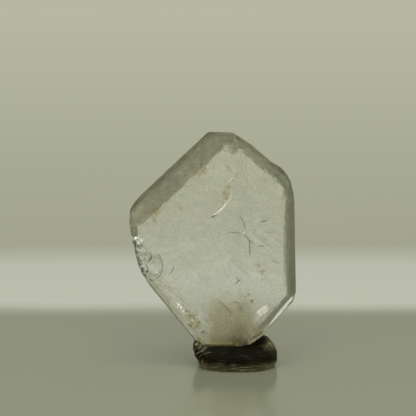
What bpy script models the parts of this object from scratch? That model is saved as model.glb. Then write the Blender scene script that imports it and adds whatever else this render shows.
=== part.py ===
"""A Japan-law twin of clear quartz, standing in a wad of dark mounting putty.

Two flat quartz crystals share their broad prism faces and lean apart at the
twin angle, so the pair is one fan-shaped plate.  The plate stands upright: its
broad faces look along -Y and +Y, the twin's seam is nearly vertical, and its
broken root is pressed into a wad of putty with a flat foot.

Frame: +Z up, +X to the right seen from the front (-Y), origin at the centre of
the putty's foot.  Every length below is in millimetres, every angle in degrees.
"""

import math

import bmesh
import bpy
from mathutils import Vector, noise

MM = 0.001

# --- the crystal -------------------------------------------------------------
AXIAL_RATIO = 1.1001  # quartz, c / a
ROLL = 1.2  # the seam leans this far anticlockwise from vertical
THICKNESS = 2.7  # between the two broad faces
CENTRE = Vector((-2.9, 0.0, 17.5))  # the reaches below are measured from here
SEAM_REACH = 2.55  # from the centre to the seam, to the right
SEAM_OVERLAP = 0.5  # the two crystals run this far into each other
RIGHT_FRONT = -THICKNESS / 2 + 0.05  # its front sits a little behind the left one's
BLOCK = 40.0  # side of the blank that the faces are cut from

# --- the putty ---------------------------------------------------------------
WAD_LEFT = 5.6  # greatest half-lengths, from the foot's centre
WAD_RIGHT = 4.8
WAD_FRONT = 4.35  # greatest half-depths
WAD_BACK = 4.2
WAD_SADDLE = 2.75  # height in the middle, where the crystal is pressed in
LEFT_LOBE = (3.6, 5.2, 1.0)  # the top rises from here to here, by this much
RIGHT_LOBE = (0.5, 3.2, 1.55)
FOOT_SHARE = 0.88  # the foot's size as a share of the greatest one
LEFT_FOOT_SHARE = 0.83
BULGE_SHARE = 0.40  # where the side is widest, as a share of the height
LEFT_BULGE_SHARE = 0.74
RIGHT_BULGE_SHARE = 0.27
ROUNDNESS = 2.7  # exponent of the upper profile; 2 is an ellipse
RIGHT_ROUNDNESS = 2.2
PLAN_ROUNDNESS = 2.3  # exponent of the outline seen from above
LUMP = 0.12  # how far dents and lumps move the surface
SLOT_GAP = 0.2  # between the crystal and the putty around it
WAD_SEGMENTS = 56
WAD_SIDE_RINGS = 5
WAD_TOP_RINGS = 10

# Angles of quartz, from its axial ratio.  RHOMB is between a rhombohedral
# face's normal and the c axis.  HALF_TWIN is between the c axis and the trace
# of a flanking rhombohedral face on the broad face, and it is also half the
# angle between the two c axes of the twin.
RHOMB = math.degrees(math.atan(2 / math.sqrt(3) * AXIAL_RATIO))
HALF_TWIN = math.degrees(
    math.atan(
        math.cos(math.radians(RHOMB))
        / (math.sin(math.radians(60)) * math.sin(math.radians(RHOMB)))
    )
)

# How far each kind of face leans towards the broad face, from edge-on.
TIP_LEAN = RHOMB  # the rhombohedral face straight above a broad face
FLANK_LEAN = math.degrees(math.asin(math.sin(math.radians(RHOMB)) / 2))
PRISM_LEAN = 30.0  # the prism faces on either side of a broad face

LEFT_AXIS = 90 + ROLL + HALF_TWIN  # directions of the c axes, seen from the front
RIGHT_AXIS = 90 + ROLL - HALF_TWIN

# Each edge of a crystal is (direction, reach, depth, front lean, back lean):
# the way it faces in the plane of the plate, its distance from CENTRE, how far
# behind the front face its ridge lies, and how its two faces lean.
LEFT_EDGES = (
    (LEFT_AXIS, 8.48, 1.97, TIP_LEAN, TIP_LEAN),  # tip ridge
    (LEFT_AXIS + 10, 9.16, 1.9, 47.0, 47.0),  # rounded corner, inner
    (LEFT_AXIS + 30, 10.11, 2.0, 33.0, 33.0),  # rounded corner, outer
    (180 + ROLL, 10.27, 2.4, FLANK_LEAN, FLANK_LEAN),  # outer flank
    (88.0, 10.97, 1.85, 33.0, FLANK_LEAN),  # inner flank: the flat top
    (218.6, 10.91, 1.75, PRISM_LEAN, PRISM_LEAN),  # outer prism edge, tapered
    (193.4, 10.13, 1.5, 12.0, 8.0),  # old break across the left corner
    (207.0, 10.63, 1.2, 20.0, 15.0),
    (266.0, 16.35, 1.4, 5.0, 12.0),  # broken root, inside the putty
)
LEFT_BEVEL = (228.9, 8.95, 82.0)  # broad low face along the prism edge

RIGHT_EDGES = (
    (RIGHT_AXIS, 10.06, 1.55, 39.0, TIP_LEAN),  # tip ridge
    (88.0, 10.97, 1.85, 33.0, FLANK_LEAN),  # end of the flat top
    (59.5, 10.49, 1.7, 35.0, 45.0),  # rounded corner beside the flat top
    (22.6, 10.30, 1.8, 31.0, 30.0),  # rounded corner beside the flank
    (ROLL, 9.69, 2.6, FLANK_LEAN, FLANK_LEAN),  # outer flank
    (RIGHT_AXIS - 90, 13.77, 2.35, 18.0, PRISM_LEAN),  # outer prism edge
    (344.0, 11.87, 2.45, 14.0, 20.0),  # corner under the flank
    (327.0, 13.33, 2.45, 16.0, 25.0),
    (274.0, 16.45, 1.2, 8.0, 5.0),  # broken root, inside the putty
)
RIGHT_BEVEL = (RIGHT_AXIS - 90, 12.22, PRISM_LEAN)  # prism face in front of the edge

# A later growth layer makes a blunt shoulder on the right crystal.  Its own
# broad faces and its last two edges lie inside that crystal.
SHOULDER_EDGES = (
    (59.8, 9.83, 1.45, 37.0, 48.0),
    (37.9, 10.45, 1.55, 37.0, 42.0),
    (22.9, 10.37, 1.7, 31.0, 32.0),
    (5.2, 9.83, 2.25, 24.0, 24.0),
    (270.0, -2.5, 1.25, 30.0, 30.0),
    (180.0, -5.0, 1.25, 30.0, 30.0),
)
SHOULDER_INSET = 0.06  # from the right crystal's broad faces to its own

# Shell-shaped chips: centre from CENTRE (x, y, z) and half-sizes (x, y, z).
CHIPS = (
    ((-9.40, -1.80, -5.00), (3.70, 0.95, 2.15)),  # the large scar on the left
    ((-9.95, -1.62, -2.85), (1.55, 0.80, 1.30)),
    ((-10.22, -1.10, -1.98), (0.62, 1.30, 0.45)),  # the notch through the edge
    ((-9.70, 1.72, -3.60), (1.90, 0.75, 1.70)),  # its partner on the back
    ((5.30, 1.66, -12.50), (1.10, 0.70, 0.95)),  # small scar beside the root
)
CHIP_TURN = 0.35  # radians between one chip's grid and the next one's


def in_plane(direction):
    """A unit vector in the plane of the plate, anticlockwise from +X seen from the front."""
    angle = math.radians(direction)
    return Vector((math.cos(angle), 0.0, math.sin(angle)))


def keep_inside(solid, point, normal):
    """Cuts a closed bmesh by a plane, drops what is outside and caps the cut."""
    everything = solid.verts[:] + solid.edges[:] + solid.faces[:]
    cut = bmesh.ops.bisect_plane(
        solid,
        geom=everything,
        dist=1e-5,
        plane_co=point,
        plane_no=normal,
        clear_outer=True,
    )
    rim = [part for part in cut["geom_cut"] if isinstance(part, bmesh.types.BMEdge)]
    if rim:
        bmesh.ops.contextual_create(solid, geom=rim)


def cut_face(solid, direction, reach, depth, lean, front, grow):
    """Cuts one face: it crosses the given depth behind y = front at the given reach."""
    towards_viewer = Vector((0.0, -1.0, 0.0))
    out = in_plane(direction)
    normal = out * math.cos(math.radians(lean)) + towards_viewer * math.sin(math.radians(lean))
    point = CENTRE + out * reach - towards_viewer * (front + depth)
    keep_inside(solid, point + normal * grow, normal)


def crystal(edges, front, thickness, bevel=None, grow=0.0):
    """A closed bmesh of one flat crystal, from a blank cut by its faces, in millimetres."""
    solid = bmesh.new()
    bmesh.ops.create_cube(solid, size=BLOCK)
    bmesh.ops.translate(solid, verts=solid.verts, vec=CENTRE)
    keep_inside(solid, Vector((0, front - grow, 0)), Vector((0, -1, 0)))
    keep_inside(solid, Vector((0, front + thickness + grow, 0)), Vector((0, 1, 0)))
    for direction, reach, depth, front_lean, back_lean in edges:
        cut_face(solid, direction, reach, depth, front_lean, front, grow)
        cut_face(solid, direction, reach, depth, -back_lean, front, grow)
    if bevel:
        direction, reach, lean = bevel
        cut_face(solid, direction, reach, 0.0, lean, front, grow)
    return solid


def twin_solids(grow=0.0):
    """The left and the right crystal, each a closed bmesh."""
    seam = in_plane(ROLL)
    left = crystal(LEFT_EDGES, -THICKNESS / 2, THICKNESS, LEFT_BEVEL, grow)
    keep_inside(left, CENTRE + seam * (SEAM_REACH + grow), seam)
    right = crystal(RIGHT_EDGES, RIGHT_FRONT, THICKNESS, RIGHT_BEVEL, grow)
    keep_inside(right, CENTRE + seam * (SEAM_REACH - SEAM_OVERLAP - grow), -seam)
    return {"left": left, "right": right}


def chip_solid(centre, half_sizes, turn):
    """The rounded piece that a chip took out, as a closed bmesh."""
    solid = bmesh.new()
    bmesh.ops.create_icosphere(solid, subdivisions=3, radius=1.0)
    for vert in solid.verts:
        x, y, z = vert.co
        vert.co.x = x * math.cos(turn) - z * math.sin(turn)
        vert.co.z = x * math.sin(turn) + z * math.cos(turn)
    bmesh.ops.scale(solid, verts=solid.verts, vec=Vector(half_sizes))
    bmesh.ops.translate(solid, verts=solid.verts, vec=CENTRE + Vector(centre))
    return solid


def smooth_step(start, end, value):
    """0 before start, 1 after end and an even rise between them."""
    share = min(max((value - start) / (end - start), 0.0), 1.0)
    return share * share * (3 - 2 * share)


def wad_top(x):
    """Height of the putty's top at x: a saddle with a lobe at each end."""
    start, end, rise = LEFT_LOBE if x < 0 else RIGHT_LOBE
    return WAD_SADDLE + rise * smooth_step(start, end, abs(x))


def wad_section(step, turn):
    """(size, height) as shares: steps 0 to 1 climb the side, steps 1 to 2 close the top."""
    left = max(0.0, -math.cos(turn)) ** 2
    right = max(0.0, math.cos(turn)) ** 2
    foot = FOOT_SHARE + (LEFT_FOOT_SHARE - FOOT_SHARE) * left
    bulge = BULGE_SHARE
    bulge += (LEFT_BULGE_SHARE - BULGE_SHARE) * left
    bulge += (RIGHT_BULGE_SHARE - BULGE_SHARE) * right
    power = 2 / (ROUNDNESS + (RIGHT_ROUNDNESS - ROUNDNESS) * right)
    if step < 1:
        return 1 - (1 - foot) * (1 - step) ** 2, bulge * step
    angle = math.pi / 2 * (step - 1)
    return math.cos(angle) ** power, bulge + (1 - bulge) * math.sin(angle) ** power


def wad_point(step, turn):
    """A point on the putty's surface."""
    size, height = wad_section(step, turn)
    across = math.copysign(abs(math.cos(turn)) ** (2 / PLAN_ROUNDNESS), math.cos(turn))
    deep = math.copysign(abs(math.sin(turn)) ** (2 / PLAN_ROUNDNESS), math.sin(turn))
    x = size * across * (WAD_RIGHT if across > 0 else WAD_LEFT)
    y = size * deep * (WAD_BACK if deep > 0 else WAD_FRONT)
    point = Vector((x, y, height * wad_top(x)))
    dent = noise.noise(point * 0.55) + 0.5 * noise.noise(point * 1.3)
    outward = Vector((x, y, 0)).normalized()
    return point + outward * dent * LUMP * min(1.0, 0.4 + point.z)


def wad_solid():
    """The putty before the crystal is pressed in: rings joined by bridges, in millimetres."""
    solid = bmesh.new()
    steps = [i / WAD_SIDE_RINGS for i in range(WAD_SIDE_RINGS)]
    steps += [1 + i / WAD_TOP_RINGS for i in range(WAD_TOP_RINGS)]
    turns = [2 * math.pi * i / WAD_SEGMENTS for i in range(WAD_SEGMENTS)]
    rings = []
    for step in steps:
        ring = [solid.verts.new(wad_point(step, turn)) for turn in turns]
        rings.append([solid.edges.new((ring[i - 1], ring[i])) for i in range(WAD_SEGMENTS)])
    for lower, upper in zip(rings, rings[1:]):
        bmesh.ops.bridge_loops(solid, edges=lower + upper)
    bmesh.ops.contextual_create(solid, geom=rings[0])
    bmesh.ops.contextual_create(solid, geom=rings[-1])
    bmesh.ops.recalc_face_normals(solid, faces=solid.faces)
    return solid


def put(solid, name, material=None, helper=False):
    """Makes a named object, in metres, of a bmesh in millimetres."""
    bmesh.ops.scale(solid, verts=solid.verts, vec=Vector((MM, MM, MM)))
    mesh = bpy.data.meshes.new(name)
    solid.to_mesh(mesh)
    solid.free()
    piece = bpy.data.objects.new(name, mesh)
    bpy.context.scene.collection.objects.link(piece)
    if material:
        mesh.materials.append(material)
    if helper:
        piece.hide_render = True
        piece.display_type = "WIRE"
    return piece


def combine(piece, other, operation):
    """Adds a Boolean of another object to a piece."""
    modifier = piece.modifiers.new(f"{operation.lower()} {other.name}", "BOOLEAN")
    modifier.operation = operation
    modifier.object = other
    modifier.solver = "EXACT"


def material(name, colour, roughness, transmission=0.0, ior=1.5):
    made = bpy.data.materials.new(name)
    made.use_nodes = True
    shader = made.node_tree.nodes["Principled BSDF"]
    shader.inputs["Base Color"].default_value = (*colour, 1.0)
    shader.inputs["Roughness"].default_value = roughness
    shader.inputs["Metallic"].default_value = 0.0
    shader.inputs["Transmission Weight"].default_value = transmission
    shader.inputs["IOR"].default_value = ior
    return made


def make_crystal(quartz):
    """The twin as one solid: both crystals and the shoulder joined, less its chips."""
    solids = twin_solids()
    shoulder_thickness = THICKNESS - 2 * SHOULDER_INSET
    shoulder = crystal(SHOULDER_EDGES, RIGHT_FRONT + SHOULDER_INSET, shoulder_thickness)
    twin = put(solids["left"], "twin_crystal", quartz)
    combine(twin, put(solids["right"], "right_crystal", helper=True), "UNION")
    combine(twin, put(shoulder, "shoulder_layer", helper=True), "UNION")
    for i, (centre, half_sizes) in enumerate(CHIPS):
        chip = put(chip_solid(centre, half_sizes, i * CHIP_TURN), f"chip_{i + 1}", helper=True)
        combine(twin, chip, "DIFFERENCE")


def make_putty(putty):
    """The wad, with a slot that clears the crystal's root all round."""
    wad = put(wad_solid(), "mounting_putty", putty)
    for name, solid in twin_solids(grow=SLOT_GAP).items():
        combine(wad, put(solid, f"{name}_slot", helper=True), "DIFFERENCE")


def main():
    for old in list(bpy.data.objects):
        bpy.data.objects.remove(old)
    make_crystal(material("clear_quartz", (0.93, 0.94, 0.90), 0.08, transmission=1.0, ior=1.544))
    make_putty(material("dark_putty", (0.035, 0.035, 0.022), 0.55))


main()
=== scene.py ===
# A Japan-law twin of clear quartz standing in a wad of dark mounting putty.
import math
import random

import bmesh
import bpy
from mathutils import Matrix, Vector, noise
from mathutils.bvhtree import BVHTree


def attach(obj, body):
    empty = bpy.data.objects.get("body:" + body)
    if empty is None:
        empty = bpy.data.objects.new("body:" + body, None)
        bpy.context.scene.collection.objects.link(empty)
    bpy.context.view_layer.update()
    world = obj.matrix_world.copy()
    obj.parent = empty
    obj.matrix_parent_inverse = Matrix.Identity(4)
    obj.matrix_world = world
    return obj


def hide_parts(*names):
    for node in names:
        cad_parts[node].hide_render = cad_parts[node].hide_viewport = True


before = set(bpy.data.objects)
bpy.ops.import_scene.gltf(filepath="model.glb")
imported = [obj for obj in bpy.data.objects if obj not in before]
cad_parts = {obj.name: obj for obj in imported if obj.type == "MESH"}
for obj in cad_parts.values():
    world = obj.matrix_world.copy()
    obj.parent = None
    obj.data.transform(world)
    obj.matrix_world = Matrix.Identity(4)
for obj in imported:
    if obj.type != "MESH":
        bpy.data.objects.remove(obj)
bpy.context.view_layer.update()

mm = 0.001  # everything is modelled in millimetres and scaled at the end
scene = bpy.context.scene
scene.view_settings.view_transform = "Standard"
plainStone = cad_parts["twin_crystal"].data


def toMillimetres(mesh, merge=0.0):
    bm = bmesh.new()
    bm.from_mesh(mesh)
    bmesh.ops.scale(bm, verts=bm.verts, vec=(1 / mm, 1 / mm, 1 / mm))
    if merge:
        bmesh.ops.remove_doubles(bm, verts=bm.verts, dist=merge)
    return bm


def surfaceTree(mesh, merge=0.0):
    bm = toMillimetres(mesh, merge)
    tree = BVHTree.FromBMesh(bm)
    bm.free()
    return tree


def newObject(bm, name, material):
    # writes a millimetre bmesh to an object in metres
    bmesh.ops.scale(bm, verts=bm.verts, vec=(mm, mm, mm))
    mesh = bpy.data.meshes.new(name)
    bm.to_mesh(mesh)
    bm.free()
    mesh.materials.append(material)
    piece = bpy.data.objects.new(name, mesh)
    scene.collection.objects.link(piece)
    return piece


def finishPiece(piece):
    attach(piece, "root")
    print(f"{piece.name}: {len(piece.data.polygons)} faces")


def carve(solid, cutters):
    # takes the cutters out of the solid and returns the mesh that is left
    for cutter in cutters:
        cut = solid.modifiers.new(cutter.name, "BOOLEAN")
        cut.operation = "DIFFERENCE"
        cut.object = cutter
        cut.solver = "EXACT"
    bpy.context.view_layer.update()
    left = bpy.data.meshes.new_from_object(solid.evaluated_get(bpy.context.evaluated_depsgraph_get()))
    for spent in (*cutters, solid):
        bpy.data.objects.remove(spent)
    return left


def fillInputs(node, inputs):
    # links a socket to its input, and writes any other value on it
    for key, value in inputs.items():
        if isinstance(value, bpy.types.NodeSocket):
            node.id_data.links.new(value, node.inputs[key])
        else:
            node.inputs[key].default_value = value
    return node


def addNode(tree, kind, inputs):
    return fillInputs(tree.nodes.new("ShaderNode" + kind), inputs)


def newMaterial(name):
    material = bpy.data.materials.new(name)
    material.use_nodes = True
    tree = material.node_tree
    return material, tree.nodes["Principled BSDF"], addNode(tree, "TexCoord", {}).outputs["Object"]


def layerNode(tree, name):
    node = addNode(tree, "VertexColor", {})
    node.layer_name = name
    return node.outputs["Color"]


def noiseNode(vector, scale, detail=3.0, roughness=0.5, distortion=0.0):
    return addNode(vector.id_data, "TexNoise", {
        "Vector": vector, "Scale": scale, "Detail": detail, "Roughness": roughness, "Distortion": distortion,
    }).outputs["Fac"]


def mappingNode(vector, turn=0.0, stretch=(1, 1, 1)):
    # turns about Y, the axis through the plate, then stretches
    return addNode(vector.id_data, "Mapping", {
        "Vector": vector, "Rotation": (0, math.radians(turn), 0), "Scale": stretch}).outputs["Vector"]


def splitNode(vector):
    return addNode(vector.id_data, "SeparateXYZ", {"Vector": vector}).outputs


def rampNode(value, stops):
    node = addNode(value.id_data, "ValToRGB", {"Fac": value})
    elements = node.color_ramp.elements
    while len(elements) < len(stops):
        elements.new(0.5)
    for element, (position, colour) in zip(elements, stops):
        element.position = position
        element.color = (*colour, 1)
    return node.outputs["Color"]


def mathNode(operation, first, second=0.5, third=0.5, clamp=False):
    node = addNode(first.id_data, "Math", {})
    node.operation = operation
    node.use_clamp = clamp
    return fillInputs(node, {0: first, 1: second, 2: third}).outputs["Value"]


def mixNode(factor, first, second, blend="MIX"):
    node = addNode(first.id_data, "Mix", {})
    node.data_type = "RGBA"
    node.blend_type = blend
    second = (*second, 1) if isinstance(second, tuple) else second
    return fillInputs(node, {"Factor": factor, 6: first, 7: second}).outputs[2]


def bumpNode(height, strength, distance, under=None):
    inputs = {"Height": height, "Strength": strength, "Distance": distance}
    if under:
        inputs["Normal"] = under
    return addNode(height.id_data, "Bump", inputs).outputs["Normal"]


def inPlane(angle):
    # a direction in the plane of the plate, anticlockwise from +X seen from the front
    return Vector((math.cos(math.radians(angle)), 0, math.sin(math.radians(angle))))


def ease(start, end, value):
    share = min(max((value - start) / (end - start), 0.0), 1.0)
    return share * share * (3 - 2 * share)


shot = {
    "aim": Vector((-3.66, 0, 19.31)) * mm,
    "distance": 0.416,
    "elevation": 10,
    "lens": 300,
    "sensor": 36,
}


def makeCamera():
    lift = math.radians(shot["elevation"])
    back = Vector((0, -math.cos(lift), math.sin(lift)))
    data = bpy.data.cameras.new("camera")
    data.lens = shot["lens"]
    data.sensor_width = shot["sensor"]
    data.clip_start = 0.01
    data.clip_end = 5
    camera = bpy.data.objects.new("camera", data)
    scene.collection.objects.link(camera)
    camera.location = shot["aim"] + back * shot["distance"]
    camera.rotation_mode = "QUATERNION"
    camera.rotation_quaternion = (-back).to_track_quat("-Z", "Y")
    scene.camera = camera


studio = {
    "floorRadius": 1.6,
    "depthScale": 1.25,  # 0.4 m on either side of the piece is 0 to 1 on the paper's ramp
    # the paper's painted light and shade from the viewer to the backdrop
    "paperLightAndShade": (
        (0.425, (0.93, 0.93, 0.84)),  # painted light towards the viewer, where the camera doesn't see it
        # painted shade under the piece
        (0.462, (0.180, 0.188, 0.134)),
        (0.541, (0.180, 0.188, 0.134)),
        (0.549, (0.440, 0.457, 0.410)),  # the pale pool of light behind the piece
        (0.583, (0.440, 0.457, 0.410)),
        (0.602, (0.305, 0.311, 0.232)),
        (0.70, (0.400, 0.409, 0.312)),
        (0.96, (0.715, 0.715, 0.575)),
    ),
    "flank": 0.55,  # painted shade: the paper is duller far out to both sides
    "flankEdge": (0.066, 0.12),  # where that begins and ends, as a share of the distance from the camera
    "middle": 0.0037,  # metres from the camera's line to the origin
    "walls": (0.30, 0.31, 0.25),
    "ceiling": (0.62, 0.63, 0.54),
    "lightColour": (1.0, 0.995, 0.95),
}

# name, place, aim, size and power
softboxes = (
    ("overheadSoftbox", (0.02, -0.10, 0.42), (0, 0, 0.01), (0.30, 0.22), 0.95),
    ("frontSoftbox", (0, -0.24, 0.26), (0, -0.12, 0), (0.24, 0.10), 0.42),
    ("farSoftbox", (-0.35, 0.63, 0.137), (0, 0, 0.01), (0.17, 0.17), 0.068),  # lights the lower right band
    ("sideSoftbox", (-0.26, -0.29, 0.16), (0, 0, 0.015), (0.10, 0.10), 0.20),
)


def makeFloor():
    material, shader, coords = newMaterial("floorPaper")
    place = splitNode(coords)
    depth = mathNode("MULTIPLY_ADD", place["Y"], studio["depthScale"], 0.5)
    depth = mathNode("MULTIPLY_ADD", noiseNode(coords, 30, 2), 0.006, depth)
    aside = mathNode("ABSOLUTE", mathNode("ADD", place["X"], studio["middle"]))
    spread = mathNode("DIVIDE", aside, mathNode("ADD", place["Y"], shot["distance"]))
    flank = rampNode(spread, tuple(zip(studio["flankEdge"], ((1, 1, 1), (studio["flank"],) * 3))))
    fillInputs(shader, {
        "Base Color": mixNode(1.0, rampNode(depth, studio["paperLightAndShade"]), flank, "MULTIPLY"),
        "Roughness": 0.16,
        "IOR": 1.3,
    })
    bm = bmesh.new()
    bmesh.ops.create_circle(bm, cap_ends=True, segments=96, radius=studio["floorRadius"] / mm)
    floor = newObject(bm, "floor", material)


def makeWorld():
    world = bpy.data.worlds.new("studio")
    world.use_nodes = True
    tree = world.node_tree
    upward = splitNode(addNode(tree, "TexCoord", {}).outputs["Generated"])["Z"]
    shades = rampNode(upward, ((0.0, studio["walls"]), (0.6, studio["ceiling"])))
    fillInputs(tree.nodes["Background"], {"Color": shades})
    scene.world = world


def makeSoftbox(name, place, aim, size, power):
    data = bpy.data.lights.new(name, "AREA")
    data.shape = "RECTANGLE"
    data.size, data.size_y = size
    data.energy = power
    data.color = studio["lightColour"]
    light = bpy.data.objects.new(name, data)
    scene.collection.objects.link(light)
    light.location = place
    light.rotation_mode = "QUATERNION"
    light.rotation_quaternion = (Vector(aim) - Vector(place)).to_track_quat("-Z", "Y")


makeCamera()
makeFloor()
makeWorld()
for softbox in softboxes:
    makeSoftbox(*softbox)
print("camera, floor and light are set")

twin = {
    "centre": Vector((-2.9, 0, 17.5)),
    "roll": 1.2,  # the seam's lean from upright
    "halfTwin": 42.28,  # between the seam and each crystal's long axis
    "seam": 2.55,  # from the centre to the seam
    "face": 1.35,  # from the middle of the plate to its front and back at the seam
    "step": 0.05,  # how far the two halves' faces are apart away from the seam
    "suture": 1.6,  # the width over which that step is blended away
}
leftAxis = inPlane(90 + twin["roll"] + twin["halfTwin"])
rightAxis = inPlane(90 + twin["roll"] - twin["halfTwin"])
seamNormal = inPlane(twin["roll"])


def besideSeam(point):
    # how far a point lies to the right of the seam
    return (point - twin["centre"]).dot(seamNormal) - twin["seam"]


quartzLook = {
    "clear": (1.0, 1.0, 0.965),
    "cloudy": (0.80, 0.805, 0.76),
    "stain": (0.56, 0.48, 0.24),
    "tongue": Vector((0.52, 0.51, 0.37)),  # the painted olive shade that runs down from the top band
    "back": Vector((0.97, 0.97, 0.93)),  # the upper right band at the back, which stays clear
    "matt": 0.24,  # roughness of the broad faces
    "uneven": 0.16,  # how far it varies
    "etched": 0.46,  # roughness of the sloping bands
    "fresh": 0.20,  # and of broken places
    "refraction": 1.544,
    "patchScale": 900,  # these scales are per metre
    "grainScale": 3400,
    "speckScale": 4600,
    "lineScale": 4200,
    "lineStretch": 0.08,
    "flankScale": 3600,
    "flankStretch": 0.04,
    "leftEnd": -0.0004,  # where the left half's lines end, in metres
    "rightEnd": 0.0054,  # and the right half's, before the upright ones of the flank
    "relief": 0.00002,  # the fine bumps' height in metres
}

# painted shade on each sloping band, with its olive tint, for the darker surroundings seen through it, by the
# direction that it faces: first and last angle, shade of the outer strip, shade of the rest, and the
# thickness of stone at which one goes over into the other
paintedBandShades = (
    (70, 110, (0.46, 0.44, 0.28), (0.45, 0.43, 0.28), 1.0),
    (110, 160, (0.75, 0.74, 0.57), (0.46, 0.46, 0.35), 0.88),
    (54, 70, (0.72, 0.71, 0.54), (0.54, 0.53, 0.4), 1.4),
    (44, 54, (0.79, 0.79, 0.63), (0.56, 0.56, 0.45), 1.4),
    (20, 44, (0.59, 0.59, 0.46), (0.445, 0.445, 0.34), 1.5),
    (-25, 20, (0.43, 0.43, 0.335), (0.6, 0.6, 0.475), 2.0),
    (-80, -25, (0.37, 0.365, 0.295), (0.41, 0.405, 0.325), 2.05),
    (160, 200, (0.55, 0.55, 0.44), (0.55, 0.55, 0.44), 1.0),
    (200, 260, (0.94, 0.925, 0.82), (0.87, 0.855, 0.73), 1.2),
)


def makeQuartzMaterial():
    material, shader, coords = newMaterial("clearQuartz")
    tree = material.node_tree
    paint = addNode(tree, "SeparateColor", {"Color": layerNode(tree, "facePaint")}).outputs
    patches = noiseNode(coords, quartzLook["patchScale"], 5, 0.65)
    grains = noiseNode(coords, quartzLook["grainScale"], 3, 0.6)
    specks = noiseNode(coords, quartzLook["speckScale"], 3, 0.7)
    across = splitNode(coords)["X"]
    slant = (quartzLook["lineStretch"], 1, 1)
    leftLines = noiseNode(mappingNode(coords, twin["halfTwin"], slant), quartzLook["lineScale"])
    rightLines = noiseNode(mappingNode(coords, -twin["halfTwin"], slant), quartzLook["lineScale"])
    flankLines = mappingNode(coords, stretch=(1, 1, quartzLook["flankStretch"]))
    flankLines = noiseNode(flankLines, quartzLook["flankScale"])
    lines = mixNode(mathNode("GREATER_THAN", across, quartzLook["leftEnd"]), leftLines, rightLines)
    lines = mixNode(mathNode("GREATER_THAN", across, quartzLook["rightEnd"]), lines, flankLines)
    mottle = mathNode("MULTIPLY_ADD", grains, 0.3, mathNode("MULTIPLY", lines, 0.25))
    mottle = mathNode("MULTIPLY_ADD", patches, 0.45, mottle)
    colour = rampNode(mottle, ((0.36, quartzLook["cloudy"]), (0.56, quartzLook["clear"])))
    stained = mathNode("ADD", paint["Green"], mathNode("MULTIPLY_ADD", specks, 3.2, -2.0))
    colour = mixNode(mathNode("MULTIPLY", stained, 2.4, clamp=True), colour, quartzLook["stain"])
    uneven = quartzLook["uneven"]
    rough = mathNode("MULTIPLY_ADD", patches, uneven, quartzLook["matt"] - uneven / 2)
    for channel, value in (("Red", quartzLook["etched"]), ("Blue", quartzLook["fresh"])):
        rough = addNode(tree, "Mix", {"Factor": paint[channel], 2: rough, 3: value}).outputs[0]
    relief = quartzLook["relief"]
    fillInputs(shader, {
        # the base colour carries the bands' painted shade
        "Base Color": mixNode(1.0, colour, layerNode(tree, "paintedShade"), "MULTIPLY"),
        "Roughness": rough,
        "Normal": bumpNode(grains, 0.30, relief, bumpNode(lines, 0.35, relief)),
        "Transmission Weight": 1.0,
        "IOR": quartzLook["refraction"],
        "Specular IOR Level": 0.7,
    })
    return material


def makeFleckMaterial(name, colour, deep, roughness=0.6, metallic=0.0):
    material, shader, coords = newMaterial(name)
    smooth, rough = (roughness - 0.15,) * 3, (roughness + 0.15,) * 3
    fillInputs(shader, {
        "Base Color": rampNode(noiseNode(coords, 900, 3, 0.6), ((0.35, deep), (0.65, colour))),
        "Roughness": rampNode(noiseNode(coords, 20000, 2), ((0.3, smooth), (0.7, rough))),
        "Metallic": metallic,
    })
    return material


# what lies in and on the stone: the material's name, colour, deeper colour, roughness and metal
flecks = {
    "milk": ("milkyInclusions", (0.95, 0.92, 0.66), (0.88, 0.84, 0.56)),
    "silt": ("siltyInclusions", (0.66, 0.56, 0.19), (0.52, 0.42, 0.12)),
    "rust": ("ironStain", (0.30, 0.20, 0.07), (0.20, 0.13, 0.04)),
    "ochre": ("paleIronStain", (0.42, 0.34, 0.14), (0.30, 0.24, 0.09)),
    "dust": ("ochreDust", (0.70, 0.62, 0.36), (0.52, 0.45, 0.24)),
    # painted glints: white patches standing in for light caught by broken places and edges
    "paintedGlint": ("paintedGlintWhite", (0.93, 0.92, 0.84), (0.62, 0.61, 0.52)),
    "frost": ("frostyCrust", (0.90, 0.90, 0.82), (0.74, 0.74, 0.64)),
    "silver": ("silveryCrack", (0.98, 0.98, 0.94), (0.90, 0.90, 0.85), 0.35, 1.0),
    # umber: brown lines in the cloud, and painted shade low in it
    "umber": ("umberStainAndShade", (0.26, 0.19, 0.10), (0.16, 0.11, 0.06)),
    # painted shadow: dark sheets and grains where cracks, splinters and pits look dark, and the dark haze
    # grains
    "shadow": ("paintedShadowAndDarkGrains", (0.12, 0.12, 0.07), (0.06, 0.06, 0.03)),
}
looks = {"quartz": makeQuartzMaterial()}
for look, values in flecks.items():
    looks[look] = makeFleckMaterial(*values)

insideTree = surfaceTree(plainStone, 0.0005)  # to test places against

quartz = {
    "cuts": (  # the fine grid: direction, first and last place, step
        ((1, 0, 0), -13.4, 7.2, 0.16),
        ((0, 0, 1), 0.6, 28.8, 0.16),
        ((0, 1, 0), -1.32, 1.38, 0.24),
    ),
    "creaseAngle": 16,
    "striation": 0.011,
    "swell": 0.012,
    "edgeSwell": 0.012,
    "sideLines": 0.014,
    "hatch": 0.022,
    "hatchBelow": 2.66,  # the thickness of stone under which the lower left band is hatched
    "corner": (-12.7, 12.95),  # x and z that the broken corner's ripples run round
    "breakRipple": 0.018,
    "slimmer": 0.26,  # the share of the upper right band that stays flat
    "bandDepth": 1.55,  # how deep that band runs into the plate
    "nibble": 0.042,  # how far the sloping bands and edges wander inwards
    "rimDark": 0.52,  # how much the thin lower left rim darkens
    "upperMottle": 1.6,  # how uneven the upper left band is, where 1 is even as the others
    "paler": 0.36,  # how much the upper left band pales towards the left corner
    "lowerPaler": 0.7,  # and the lower right one down into the putty
    "stainReach": 2.0,  # how far a stain spreads, in radii of its patch
    "stainMost": 0.92,
}

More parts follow.
